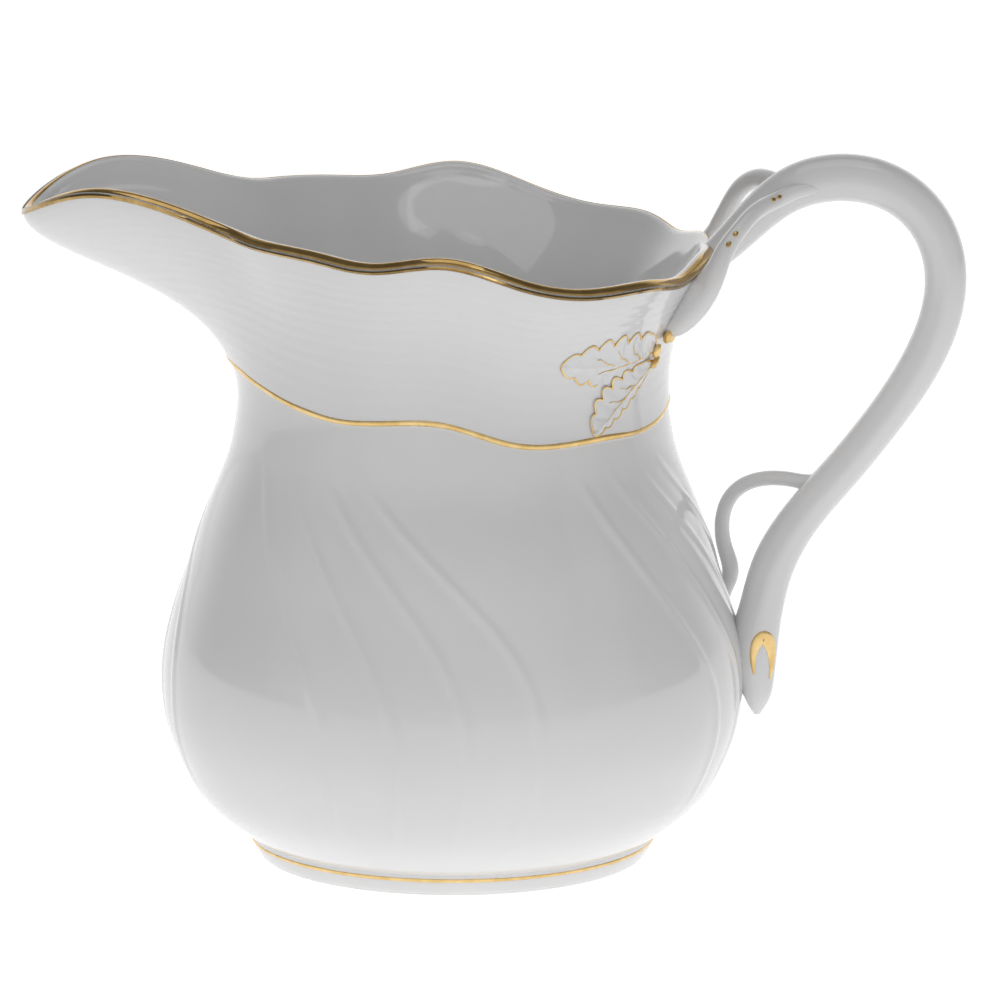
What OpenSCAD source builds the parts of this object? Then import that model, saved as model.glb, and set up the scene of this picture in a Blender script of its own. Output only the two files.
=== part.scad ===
// Porcelain cream jug: spiral-reeded belly, flared collar with a long spout,
// twig handle that forks over the rim, leaf sprigs and gilded edges.
// Origin: centre of the foot on the table. +Z up, spout towards -X, handle towards +X.

/* [Foot] */
// Radius of the foot ring where it stands on the table
foot_r = 24.6; // [22:0.1:26]
// Height of the foot ring
foot_h = 3.2; // [2.6:0.1:3.8]
// Radial width of the unglazed standing face
foot_face = 2.8; // [2:0.1:4]
// Height of the gilded line on the foot
foot_line_z = 2.2; // [1.8:0.1:2.3]
// Width of the gilded line on the foot
foot_line_w = 0.5; // [0.3:0.1:0.6]

/* [Body] */
// Thickness of the belly wall
wall = 2.6; // [2:0.1:3]
// Thickness of the wall at the lip
lip = 1.9; // [1.5:0.1:2.4]
// Thickness of the floor above the foot
floor_t = 3; // [2.4:0.1:4]
// Scale on the belly radii below
belly_fit = 1; // [0.97:0.01:1.03]

/* [Reeds] */
// Height of the spiral reeds above the belly
reed_h = 0.4; // [0.2:0.05:0.6]
// Half width of a reed, degrees round the body
reed_w = 3.2; // [2.4:0.2:4]

/* [Collar] */
// How far the collar stands proud of the belly below the gilded line
collar_step = 0.25; // [0.1:0.05:0.4]
// Width of the gilded line under the collar
neck_line_w = 0.6; // [0.4:0.1:0.9]
// Width of the gilded band down the outside of the lip
rim_band = 1.5; // [1:0.1:2.2]
// Build-up of the gilding
gilt = 0.1; // [0.06:0.02:0.2]
// Tilt of the wall at the lip, degrees above level
lip_tilt = 67; // [60:1:75]
// Tilt of the wall at the tip of the spout
spout_tilt = 98; // [80:1:100]

/* [Handle] */
// Width of the handle across the jug
stem_w = 6; // [5:0.1:7]
// Thickness of the handle over the thumb
stem_top = 6; // [5.4:0.1:6.6]
// Thickness of the handle along the grip
stem_grip = 5.1; // [4.4:0.1:5.6]
// Scale on the thickness of the side branches and the tendril
twig_fit = 1; // [0.8:0.05:1.15]

/* [Leaves] */
// Height of the leaves above the collar
leaf_h = 0.5; // [0.3:0.05:0.8]
// Length of the upper leaf
leaf_long = 16.4; // [15:0.2:17]
// Length of the lower leaf
leaf_short = 13.4; // [12:0.2:13.6]
// Lobes along each leaf edge
lobes = 9; // [7:1:10]
// Depth of the lobes as a share of the leaf's half width
lobe_cut = 0.22; // [0.1:0.02:0.26]
// How far the lower leaf is lifted over the upper one
leaf_lift = 0.3; // [0.2:0.05:0.4]
// Width of a gilded leaf line
vein_w = 0.25; // [0.2:0.05:0.35]

/* [Hidden] */
$fn = 96;

porcelain = [0.93, 0.93, 0.92];
gold = [0.76, 0.58, 0.28];

// Belly radius at every 5 mm of height, from 2 mm to 57 mm
belly_r = [24.5, 31, 34.3, 36.2, 36.9, 36.6, 35.4, 33.8, 32.2, 30.3, 28.4, 27.4];
belly_z0 = 2;
belly_dz = 5;
neck_z = 57;
// Lip reach from the axis, every 15 degrees from the spout round to the handle
lip_reach = [54, 46.6, 35, 33.4, 33.1, 34.6, 36.1, 36.8, 36, 35.4, 33.6, 33.1, 33];
// Lip height at the same stations
lip_high = [83.2, 87.4, 84.3, 82.7, 82.1, 81.6, 82.7, 79.9, 78.1, 78.1, 77.2, 78.4, 78.4];
// Height of the collar's lower edge at the same stations
edge_high = [64.2, 63.7, 62.6, 61.3, 60.4, 60.7, 60.5, 58.2, 57.3, 57.6, 57.3, 58.2, 59];
// Where the first reed of a bundle lies, degrees from the handle, every 10 mm from z = 5
reed_turn = [116, 114, 116, 125, 136.5, 147, 154];
// Spacing of the reeds in a bundle at the same heights
reed_gap = [13, 13.6, 14.6, 15.2, 13.4, 10.6, 9];

// ---- curves ----
function run_on(v) = concat([2 * v[0] - v[1]], v, [2 * v[len(v) - 1] - v[len(v) - 2]]);
function fold_back(v) = concat([v[1]], v, [v[len(v) - 2]]);
// control values whose curve passes through the stations v, by repeated correction
function through(v, c, n = 8) = n == 0 ? c
    : let (w = run_on(c)) through(v,
        [for (i = [0:len(v) - 1]) c[i] + v[i] - (w[i] + 4 * w[i + 1] + w[i + 2]) / 6], n - 1);
function through_fold(v, c, n = 8) = n == 0 ? c
    : let (w = fold_back(c)) through_fold(v,
        [for (i = [0:len(v) - 1]) c[i] + v[i] - (w[i] + 4 * w[i + 1] + w[i + 2]) / 6], n - 1);
function open_curve(v) = run_on(through(v, v));
function folded_curve(v) = fold_back(through_fold(v, v));
// uniform cubic B-spline, u counts the stations
function curve(c, u) =
    let (n = len(c) - 3, v = min(max(u, 0), n - 0.000001), i = floor(v), t = v - i)
    (pow(1 - t, 3) * c[i] + (3 * t * t * t - 6 * t * t + 4) * c[i + 1]
    + (-3 * t * t * t + 3 * t * t + 3 * t + 1) * c[i + 2] + t * t * t * c[i + 3]) / 6;
function step01(t) = let (a = min(max(t, 0), 1)) a * a * (3 - 2 * a);

belly_c = open_curve(belly_r * belly_fit);
reach_c = folded_curve(lip_reach);
high_c = folded_curve(lip_high);
edge_c = folded_curve(edge_high);
turn_c = open_curve(reed_turn);
gap_c = open_curve(reed_gap);

// ---- body surface ----
// a is the azimuth from +X; from_spout is 0 at the spout and 180 at the handle
function wrap(a) = a - 360 * floor((a + 180) / 360);
function from_spout(a) = 180 - abs(wrap(a));
function belly(z) = curve(belly_c, (z - belly_z0) / belly_dz);
function reach(a) = curve(reach_c, from_spout(a) / 15);
function high(a) = curve(high_c, from_spout(a) / 15);
function edge(a) = curve(edge_c, from_spout(a) / 15);
neck_r = belly(neck_z);
neck_lean = belly(neck_z) - belly(neck_z - 1);
// collar section at azimuth a: a cubic from the neck to the lip, as [r, z]
function near_spout(a) = exp(-pow(from_spout(a) / 20.4, 2));
function collar(a, s) =
    let (w = near_spout(a), tilt = lip_tilt + (spout_tilt - lip_tilt) * w,
        p0 = [neck_r, neck_z], p3 = [reach(a), high(a)], d = norm(p3 - p0),
        p1 = p0 + 0.48 * d * [neck_lean, 1],
        p2 = p3 - (0.25 - 0.06 * w) * d * [cos(tilt), sin(tilt)])
    pow(1 - s, 3) * p0 + 3 * pow(1 - s, 2) * s * p1 + 3 * (1 - s) * s * s * p2 + s * s * s * p3;
// parameter at which the collar section reaches height z
function seek(a, z, lo = 0, hi = 1, n = 16) = n == 0 ? (lo + hi) / 2
    : let (m = (lo + hi) / 2) collar(a, m)[1] < z ? seek(a, z, m, hi, n - 1) : seek(a, z, lo, m, n - 1);
function rz(a, z) = z < neck_z ? [belly(z), z] : collar(a, seek(a, z));
// outward normal of a section from two neighbouring points on it
function out_dir(p, q) = let (d = q - p) [d[1], -d[0]] / norm(d);
function normal_z(z) = out_dir([belly(z - 0.2), z - 0.2], [belly(z + 0.2), z + 0.2]);
function spin(a, p) = [p[0] * cos(a), p[0] * sin(a), p[1]];
function unit(v) = v / norm(v);
function along_s(a, s) = spin(a, collar(a, min(s + 0.01, 1)) - collar(a, max(s - 0.01, 0)));
function along_a(a, s) = spin(a + 0.8, collar(a + 0.8, s)) - spin(a - 0.8, collar(a - 0.8, s));
function normal_s(a, s) = unit(cross(along_a(a, s), along_s(a, s)));

// ---- columns of the body mesh follow the reeds, then straighten into the collar ----
group = 28;
cols = 4 * group;
function reed_at(j, z) = -curve(turn_c, (z - 5) / 10) + j * curve(gap_c, (z - 5) / 10);
function in_group(i, z) =
    i > 14 ? let (a = reed_at(3, z) + reed_w, b = reed_at(0, z) - reed_w + 90) a + (b - a) * (i - 14) / 14
    : let (j = floor(i / 4), k = i - 4 * j)
    k < 3 ? reed_at(j, z) + (k - 1) * reed_w : (reed_at(j, z) + reed_at(j + 1, z)) / 2;
function reed_col(k, z) = let (q = k - 10, g = floor(q / group)) in_group(q - g * group, z) + 90 * g;
function column(k, z) =
    let (w = step01((z - 48) / 12)) (1 - w) * reed_col(k, z) + w * (-180 + k * 360 / cols);
function relief(k, z) =
    let (q = k - 10, i = q - group * floor(q / group), fade = step01((z - 5) / 9) * step01((56.5 - z) / 9))
    fade * reed_h * (i < 15 && i % 4 == 1 ? 0.6 : i < 15 ? -0.4 : -0.1);

belly_rows = [foot_h, 4.2, 5.6, 7.5, 10, 14, 18.5, 23, 28, 33, 38, 43, 48, 52.5];
rim_rows = [0, 0.12, 0.28, 0.46, 0.64, 0.82];
lip_rows = [0, 45, 90, 135, 180];
function belly_pt(k, z, off = 0) =
    let (n = normal_z(z), r = belly(z) + relief(k, z)) spin(column(k, z), [r, z] + off * n);
// points between the top of the reeds and the collar's edge
function neck_pt(k, t) = let (z = 52.5 + (edge(azim(k)) - 52.5) * t, a = column(k, z)) spin(a, rz(a, z));
function edge_s(a) = seek(a, edge(a));
function band_s(a) = 1 - rim_band / norm([reach(a) - neck_r, high(a) - neck_z]) * 0.9;
function skin_pt(a, s, off) = spin(a, collar(a, s)) + off * normal_s(a, s);
function azim(k) = column(k, 70);
function rise(a, t) = edge_s(a) + (band_s(a) - edge_s(a)) * t;
// rounded lip: g lifts the surface for the gilding
function lip_pt(a, turn, g = 0) =
    let (n = normal_s(a, 1), up = unit(cross(n, along_a(a, 1))), h = lip / 2)
    spin(a, collar(a, 1)) + (collar_step - h) * n - h * up + (h + g) * (cos(turn) * n + sin(turn) * up);

outer_rows = concat(
    [for (z = belly_rows) [for (k = [0:cols - 1]) belly_pt(k, z)]],
    [for (t = [0.35, 0.7]) [for (k = [0:cols - 1]) neck_pt(k, t)]],
    [[for (k = [0:cols - 1]) let (a = azim(k)) skin_pt(a, edge_s(a), 0)]],
    [[for (k = [0:cols - 1]) let (a = azim(k)) skin_pt(a, edge_s(a) + neck_line_w / 30, collar_step)]],
    [for (t = [0.16, 0.34, 0.52, 0.7, 0.86]) [for (k = [0:cols - 1]) let (a = azim(k))
        skin_pt(a, rise(a, t), collar_step)]],
    [[for (k = [0:cols - 1]) let (a = azim(k)) skin_pt(a, band_s(a), collar_step)]],
    [[for (k = [0:cols - 1]) lip_pt(azim(k), 0)]]);
lip_ring = [for (t = [45, 90, 135, 180]) [for (k = [0:cols - 1]) lip_pt(azim(k), t)]];
function thick(t) = lip - collar_step + (wall - lip + collar_step) * step01(t);
inner_rows = concat(
    [for (t = [0.12, 0.3, 0.5, 0.72]) [for (k = [0:cols - 1]) let (a = azim(k), s = 1 - t)
        skin_pt(a, s, -thick(t * 1.3))]],
    [for (z = [57, 52, 46, 40, 34, 28, 22, 16, 11, 7.5]) [for (k = [0:cols - 1])
        spin(column(k, z), [belly(z), z] - wall * normal_z(z))]],
    [for (q = [[26, 0.55], [20, 0.15], [10, 0]]) [for (k = [0:cols - 1])
        spin(column(k, 7), [q[0], foot_h + floor_t + q[1]])]]);

// closed solid from rings of points, with a centre point under the first and after the last
function ring_faces(rows, n) = [for (r = [0:rows - 2]) for (k = [0:n - 1])
    let (a = r * n + k, b = r * n + (k + 1) % n, c = a + n, d = b + n) each [[a, c, b], [b, c, d]]];
module capped(rings, low, top) {
    n = len(rings[0]);
    m = len(rings);
    pts = concat([for (r = rings) each r], [low, top]);
    polyhedron(pts, concat(ring_faces(m, n),
        [for (k = [0:n - 1]) [m * n, k, (k + 1) % n]],
        [for (k = [0:n - 1]) [m * n + 1, (m - 1) * n + (k + 1) % n, (m - 1) * n + k]]));
}
// closed band from rings of points, joined back to the first ring
module banded(rings) {
    n = len(rings[0]);
    m = len(rings);
    polyhedron([for (r = rings) each r], concat(ring_faces(m, n),
        [for (k = [0:n - 1]) let (a = (m - 1) * n + k, b = (m - 1) * n + (k + 1) % n, d = (k + 1) % n)
            each [[a, k, b], [b, k, d]]]));
}

// closed strip from thin sections: each is its upper side, then its lower side run backwards
module strip(rings) {
    n = len(rings[0]);
    m = len(rings);
    e = (m - 1) * n;
    polyhedron([for (r = rings) each r], concat(ring_faces(m, n),
        [for (i = [0:n / 2 - 2]) each [[i, i + 1, n - 1 - i], [i + 1, n - 2 - i, n - 1 - i]]],
        [for (i = [0:n / 2 - 2]) each [[e + i, e + n - 1 - i, e + i + 1],
            [e + i + 1, e + n - 1 - i, e + n - 2 - i]]]));
}

// the sector of the body under the handle as a solid block, used to trim what is fixed to it
wedge_lo = 36;
wedge_hi = 68;
module body_wedge() {
    skin = concat(outer_rows, [lip_ring[0], lip_ring[1], lip_ring[2]]);
    rings = [for (r = skin) concat([[0, 0, r[wedge_lo][2]]], [for (k = [wedge_lo:wedge_hi]) r[k]])];
    capped(rings, [12, 0, foot_h], [12, 0, 78]);
}

module body_shell() {
    color(porcelain)
    capped(concat(outer_rows, lip_ring, inner_rows), [0, 0, foot_h], [0, 0, foot_h + floor_t]);
}

// outer side of the foot, as [r, z]
function foot_side(z) = foot_r + 1.2 * sin(90 * z / foot_h);
module foot_ring() {
    r = 0.4;
    color(porcelain)
    rotate_extrude()
    polygon(concat(
        [[foot_r - foot_face, 0], [foot_r - r, 0]],
        [for (i = [1:4]) [foot_r - r + r * sin(i * 20), r * (1 - cos(i * 20))]],
        [for (z = [0.6:0.26:foot_h - 0.1]) [foot_side(z), z]],
        [[foot_side(foot_h), foot_h], [foot_r - foot_face - 1.6, foot_h]]));
}

module foot_gilding() {
    lo = foot_line_z - foot_line_w / 2;
    hi = foot_line_z + foot_line_w / 2;
    side = [for (i = [0:6]) let (z = lo + (hi - lo) * i / 6) [foot_side(z), z]];
    color(gold)
    difference() {
        rotate_extrude()
        polygon(concat([for (p = side) p + [gilt * 1.2, 0]], [[foot_r - 0.5, hi], [foot_r - 0.5, lo]]));
        foot_ring();
    }
}

module neck_gilding() {
    d = neck_line_w / 30;
    low = [for (k = [0:cols - 1]) let (a = azim(k)) skin_pt(a, edge_s(a), 0)];
    low_out = [for (k = [0:cols - 1]) let (a = azim(k)) skin_pt(a, edge_s(a), collar_step + gilt)];
    top_out = [for (k = [0:cols - 1]) let (a = azim(k)) skin_pt(a, edge_s(a) + d, collar_step + gilt)];
    top = [for (k = [0:cols - 1]) let (a = azim(k)) skin_pt(a, edge_s(a) + d, collar_step)];
    color(gold)
    banded([low, low_out, top_out, top]);
}

// the band stops against the handle on each side; its sections run back round the jug
rim_stop = asin(stem_w * 0.4 / lip_reach[12]);
module rim_gilding() {
    turns = concat([360 - rim_stop], [for (k = [cols - 2:-1:2]) k * 360 / cols], [rim_stop]);
    rings = [for (a = turns) concat([skin_pt(a, band_s(a), collar_step + gilt)],
        [for (t = [0, 45, 90, 135]) lip_pt(a, t, gilt)], [for (t = [135, 90, 45, 0]) lip_pt(a, t)],
        [skin_pt(a, band_s(a), collar_step)])];
    color(gold)
    strip(rings);
}

// ---- handle: stations are [x, y, z, thickness, width] along the centre line ----
stem_path = [
    [30.4, 0, 75.2, 3.4, 4.2], [34.4, 0, 78.5, 4.2, 4.8], [38.6, 0, 82.7, 5, 5.4],
    [43.4, 0, 86.1, 5.7, 5.9], [49.4, 0, 87.2, stem_top, stem_w], [55.2, 0, 85.8, 5.8, stem_w],
    [59.8, 0, 81.8, 5.5, stem_w], [62, 0, 75.8, 5.3, stem_w - 0.1], [61.4, 0, 69.2, 5.2, stem_w - 0.2],
    [58.6, 0, 62.6, stem_grip, stem_w - 0.3], [54.4, 0, 56.2, stem_grip - 0.2, stem_w - 0.4],
    [49.3, 0, 49.7, stem_grip - 0.2, stem_w - 0.4], [44.2, 0, 43.6, stem_grip, stem_w - 0.3],
    [40.7, 0, 37.5, 5.4, stem_w - 0.2], [39.1, 0, 31.6, 5.6, stem_w - 0.2], [38.2, 0, 26.4, 6.1, 5.6],
    [38.6, 0, 21.8, 4.4, 4.5], [38.7, 0, 19.4, 2.6, 3], [38.7, 0, 18, 0.8, 1.2]];
front_path = [
    [42.6, -1, 85.9, 2, 2], [40.4, -4.2, 84.9, 2.1, 2.1], [38.1, -7.4, 84.1, 2.1, 2.1],
    [35.9, -10.4, 82.2, 2.1, 2.1], [34.1, -12.1, 79.8, 2.5, 2.4], [33, -12.9, 77.3, 3.1, 2.7],
    [31.8, -13.2, 74.6, 3.4, 2.8], [30, -12.9, 72.1, 3.2, 2.8], [28.2, -12.2, 70.5, 2.8, 2.6],
    [26.8, -11.2, 69.9, 2.2, 2.2]];
rear_path = [
    [42.6, 1, 86, 2, 2], [40.6, 4.2, 86, 2.2, 2.2], [38.5, 7.4, 85.8, 2.4, 2.3],
    [36.3, 10.3, 84, 2.5, 2.3], [34.8, 12, 81.2, 2.5, 2.4], [33.4, 12.8, 78.1, 2.9, 2.6],
    [32, 13, 75.1, 3.3, 2.8], [30, 12.9, 72.4, 3.2, 2.8], [28.2, 12.2, 70.6, 2.8, 2.6],
    [26.8, 11.2, 69.9, 2.2, 2.2]];
tendril_path = [
    [46, 1, 47.4, 1.9, 1.9], [43.4, 2.4, 47.8, 1.9, 1.9], [40.2, 4.2, 47.7, 1.9, 1.9],
    [37, 6, 46.5, 1.9, 1.9], [34.9, 7.5, 44, 1.9, 1.9], [34.2, 8.5, 40.8, 1.9, 1.9],
    [34.6, 8.9, 37.6, 2, 1.9], [35.3, 8.9, 34.4, 2.1, 1.9], [34, 8.6, 31.4, 1.8, 1.8]];

function head(v, n) = [for (i = [0:n - 1]) v[i]];
// rings of an oval tube along stations; side is the direction its width lies in
function tube(stations, steps, sides, side, fit = 1, more = 0) =
    let (c = open_curve(stations), last = len(stations) - 1)
    [for (i = [0:steps]) let (u = last * i / steps, p = curve(c, u),
        q = head(curve(c, min(u + 0.05, last)) - curve(c, max(u - 0.05, 0)), 3),
        d = unit(q), n = unit(cross(side, d)), b = cross(d, n),
        hn = p[3] * fit / 2 + more, hb = p[4] * fit / 2 + more)
        [for (k = [0:sides - 1]) let (g = 360 * k / sides) head(p, 3) + hn * cos(g) * n + hb * sin(g) * b]];
module tube_solid(stations, steps, sides, side, fit = 1) {
    rings = tube(stations, steps, sides, side, fit);
    capped(rings, head(stations[0], 3), head(stations[len(stations) - 1], 3));
}
module stem_solid() {
    tube_solid(stem_path, 48, 16, [0, 1, 0]);
}
module front_twig() {
    tube_solid(front_path, 27, 10, [1, 0, 0.2], twig_fit);
}
module rear_twig() {
    tube_solid(rear_path, 27, 10, [1, 0, 0.2], twig_fit);
}

module handle_stem() {
    color(porcelain)
    difference() {
        stem_solid();
        body_wedge();
    }
}
module front_branch() {
    color(porcelain)
    difference() {
        front_twig();
        stem_solid();
        body_wedge();
    }
}
module rear_branch() {
    color(porcelain)
    difference() {
        rear_twig();
        stem_solid();
        body_wedge();
    }
}
module tendril() {
    color(porcelain)
    difference() {
        tube_solid(tendril_path, 26, 10, [0, 1, 0], twig_fit);
        stem_solid();
        body_wedge();
    }
}

// ---- leaves: side is -1 for the front of the jug and 1 for the back ----
deg_per_mm = 2;
leaf_sink = 0.06;
// each leaf: degrees from the handle and height of its foot, slope, length, half width above
// and below the midrib, how far the midrib bows, how far out each side is widest, and its lift;
// the lower leaf lies over the upper one
leaf_upper = [29, 67.9, 0, leaf_long, 4.3, 2.7, -0.8, 0.9, 1.5, 0];
leaf_lower = [28, 66.2, -37, leaf_short, 4.3, 1.5, 0, 1.3, 1, leaf_lift];
leaf_rows = 4 * lobes;
leaf_v = [-1, -0.65, -0.3, 0, 0.3, 0.65, 1];
function leaf_w(f, u, v) = (v < 0 ? f[5] : f[4])
    * (0.08 + 0.92 * pow(sin(180 * pow(u, v < 0 ? f[8] : f[7])), 0.7)
    * (1 - lobe_cut * step01((u - 0.15) / 0.3) * (1 - abs(sin(180 * lobes * u)))));
function leaf_flat(f, u, v) = let (x = f[3] * u, y = leaf_w(f, u, v) * v + f[6] * sin(180 * u))
    [x * cos(f[2]) - y * sin(f[2]), x * sin(f[2]) + y * cos(f[2])];
function leaf_top(f, u, v) =
    collar_step + f[9] + leaf_h * (0.45 + 0.55 * pow(1 - abs(v), 0.8)) * (1 - 0.35 * u);
function on_collar(side, a, z, off) =
    let (az = side * a, s = seek(az, z)) spin(az, collar(az, s)) + off * normal_s(az, s);
function leaf_pt(side, f, u, v, off) =
    let (q = leaf_flat(f, u, v)) on_collar(side, f[0] + q[0] * deg_per_mm, f[1] + q[1], off);
// a leaf pad as rings that run once round each cross-section
function leaf_rings(side, f) = [for (i = [0:leaf_rows]) let (u = i / leaf_rows)
    concat([for (v = leaf_v) leaf_pt(side, f, u, -side * v, leaf_top(f, u, v))],
        [for (v = [1, 0, -1]) leaf_pt(side, f, u, -side * v, collar_step - leaf_sink)])];
function middle(r) = (r[0] + r[6] + r[7] + r[9]) / 4;
module leaf_pad(side, f) {
    r = leaf_rings(side, f);
    capped(r, middle(r[0]), middle(r[len(r) - 1]));
}
module front_leaf_upper() {
    color(porcelain)
    leaf_pad(-1, leaf_upper);
}
module front_leaf_lower() {
    color(porcelain)
    leaf_pad(-1, leaf_lower);
}
module rear_leaf_upper() {
    color(porcelain)
    leaf_pad(1, leaf_upper);
}
module rear_leaf_lower() {
    color(porcelain)
    leaf_pad(1, leaf_lower);
}

// ---- buds: four gilded ovals where each branch lands on the collar ----
module oval(len, d) {
    rotate_extrude($fn = 20)
    polygon(concat([[0, -len / 2]],
        [for (i = [1:7]) [d / 2 * sin(i * 22.5), -len / 2 * cos(i * 22.5)]], [[0, len / 2]]));
}
// each bud is [degrees from the handle, height, lean, length, thickness]
buds = [[29.2, 68, 5, 1.8, 1.1], [25.2, 69.5, -20, 1.9, 1.2], [20.5, 69.2, 8, 1.8, 0.9],
    [27.8, 66.3, 48, 1.9, 0.9]];
module bud_sprig(side) {
    difference() {
        for (b = buds)
            translate(on_collar(side, b[0], b[1], collar_step + b[4] * 0.35))
            rotate([0, 0, side * b[0]])
            rotate([side * b[2], 0, 0])
            oval(b[3], b[4]);
        body_wedge();
        if (side < 0) front_twig();
        else rear_twig();
    }
}
module front_buds() {
    color(gold)
    bud_sprig(-1);
}
module rear_buds() {
    color(gold)
    bud_sprig(1);
}

// ---- gilded lines on the leaves: a closed line round the edge, and a midrib ----
function edge_pt(side, f, u, v, inset, off) =
    let (a = inset / f[3], q = a + (1 - 2 * a) * u, w = leaf_w(f, q, v), t = max(w - inset, 0.04) / w)
    leaf_pt(side, f, q, v * t, leaf_top(f, q, t) + off);
function edge_loop(side, f, inset, off) = concat(
    [for (i = [0:leaf_rows]) edge_pt(side, f, i / leaf_rows, -side, inset, off)],
    [for (i = [leaf_rows:-1:0]) edge_pt(side, f, i / leaf_rows, side, inset, off)]);
module leaf_line(side, f) {
    banded([edge_loop(side, f, 0, -0.02), edge_loop(side, f, 0, gilt),
        edge_loop(side, f, vein_w, gilt), edge_loop(side, f, vein_w, -0.02)]);
}
// the same line where another leaf hides the start of the lower edge
module part_line(side, f, from) {
    run = concat([for (i = [round(from * leaf_rows):leaf_rows]) [i / leaf_rows, -1]],
        [for (i = [leaf_rows - 1:-1:0]) [i / leaf_rows, 1]]);
    rows = [for (p = run) [for (q = side < 0 ? [0, 1, 2, 3] : [3, 2, 1, 0])
        edge_pt(side, f, p[0], p[1], q < 2 ? 0 : vein_w, q == 0 || q == 3 ? -0.02 : gilt)]];
    n = len(rows) - 1;
    capped(rows, (rows[0][0] + rows[0][2]) / 2, (rows[n][0] + rows[n][2]) / 2);
}
module midrib(side, f, last) {
    rib = [for (i = [1:10]) let (u = i * last / 10, h = leaf_top(f, u, 0))
        [for (q = [[-1, gilt], [1, gilt], [1, -0.02], [-1, -0.02]])
            leaf_pt(side, f, u, -side * q[0] * vein_w / 2 / leaf_w(f, u, -side * q[0]), h + q[1])]];
    capped(rib, (rib[0][0] + rib[0][2]) / 2, (rib[9][0] + rib[9][2]) / 2);
}
module leaf_gilding(side) {
    part_line(side, leaf_upper, 0.62);
    midrib(side, leaf_upper, 0.62);
    leaf_line(side, leaf_lower);
    midrib(side, leaf_lower, 0.8);
}
module front_leaf_gilding() {
    color(gold)
    leaf_gilding(-1);
}
module rear_leaf_gilding() {
    color(gold)
    leaf_gilding(1);
}

// ---- gilded horseshoe on each side of the handle's tail: stations are [x, z, half width] ----
shoe = [[38.3, 23.6, 0.12], [38.1, 25, 0.3], [38.2, 26.6, 0.5], [38.7, 27.9, 0.75], [39.5, 28.4, 0.9],
    [40.2, 27.6, 0.75], [40.5, 26, 0.5], [40.5, 24.4, 0.3], [40.3, 22.9, 0.12]];
stem_c = open_curve(stem_path);
// station of the stem at height z, below the grip
function stem_u(z, lo = 12, hi = 18, n = 14) = n == 0 ? (lo + hi) / 2
    : let (m = (lo + hi) / 2)
    curve(stem_c, m)[2] > z ? stem_u(z, m, hi, n - 1) : stem_u(z, lo, m, n - 1);
function on_stem(side, q, off) =
    let (p = curve(stem_c, stem_u(q[1])), x = (q[0] - p[0]) * 2 / p[3])
    [q[0], side * (p[4] / 2 * sqrt(max(1 - x * x, 0.02)) + off), q[1]];
module tail_gilding(side) {
    c = open_curve(shoe);
    rows = [for (i = [0:24]) let (u = i / 3, p = curve(c, u),
        d = unit(head(curve(c, min(u + 0.1, 8)) - curve(c, max(u - 0.1, 0)), 2)),
        n = [-d[1], d[0]] * p[2], m = head(p, 2))
        [on_stem(side, m - side * n, -0.04), on_stem(side, m - side * n, gilt), on_stem(side, m, gilt * 1.3),
        on_stem(side, m + side * n, gilt), on_stem(side, m + side * n, -0.04)]];
    mid = [for (r = [rows[0], rows[24]]) (r[0] + r[2] + r[4]) / 3];
    capped(rows, mid[0], mid[1]);
}
module tail_gilding_front() {
    color(gold)
    tail_gilding(-1);
}
module tail_gilding_rear() {
    color(gold)
    tail_gilding(1);
}

// ---- small gilded dots, in pairs, on the side branches ----
dot_at = [0.95, 1.3, 3.3, 3.75];
module dots(path, side) {
    c = open_curve(path);
    difference() {
        for (u = dot_at)
            let (p = curve(c, u))
            translate(head(p, 3) + (p[3] * twig_fit / 2 - 0.08) * unit([0.1, side * 0.85, 0.4]))
            sphere(r = 0.42, $fn = 16);
        tube_solid(path, 27, 10, [1, 0, 0.2], twig_fit);
        stem_solid();
    }
}
module branch_dots_front() {
    color(gold)
    dots(front_path, -1);
}
module branch_dots_rear() {
    color(gold)
    dots(rear_path, 1);
}

body_shell();
foot_ring();
handle_stem();
front_branch();
rear_branch();
tendril();
front_leaf_upper();
front_leaf_lower();
rear_leaf_upper();
rear_leaf_lower();
rim_gilding();
neck_gilding();
foot_gilding();
front_buds();
rear_buds();
front_leaf_gilding();
rear_leaf_gilding();
tail_gilding_front();
tail_gilding_rear();
branch_dots_front();
branch_dots_rear();
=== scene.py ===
import math
from collections import namedtuple

import bmesh
import bpy
import numpy as np
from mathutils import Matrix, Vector


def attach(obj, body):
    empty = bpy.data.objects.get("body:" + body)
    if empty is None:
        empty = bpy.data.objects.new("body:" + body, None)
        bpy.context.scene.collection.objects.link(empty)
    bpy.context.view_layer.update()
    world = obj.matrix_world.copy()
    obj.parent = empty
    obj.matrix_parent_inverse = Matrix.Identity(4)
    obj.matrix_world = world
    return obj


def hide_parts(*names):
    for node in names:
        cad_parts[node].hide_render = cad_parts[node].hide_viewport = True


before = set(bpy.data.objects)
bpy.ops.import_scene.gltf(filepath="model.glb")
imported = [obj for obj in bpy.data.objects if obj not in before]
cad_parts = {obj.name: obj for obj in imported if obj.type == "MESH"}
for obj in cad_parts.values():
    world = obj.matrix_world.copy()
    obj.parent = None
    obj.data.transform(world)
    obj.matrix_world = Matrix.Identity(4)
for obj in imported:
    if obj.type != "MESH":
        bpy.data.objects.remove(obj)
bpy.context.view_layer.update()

MM = 0.001

# ---------------------------------------------------------------- driving dimensions, in mm
NECK_Z = 57.0  # where the belly ends and the collar begins
WALL, LIP = 2.6, 1.9  # thickness of the belly and of the lip
FOOT_H, FLOOR = 3.2, 3.0  # height of the foot, thickness of the bowl's floor
STEP, GILT = 0.25, 0.07  # how far the collar stands off the neck, thickness of the gold
LIP_TILT, SPOUT_TILT = 67.0, 98.0  # direction of the section at the lip, in degrees from level
RIM_BAND = 1.2  # width of the gold on the outside of the lip

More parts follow.
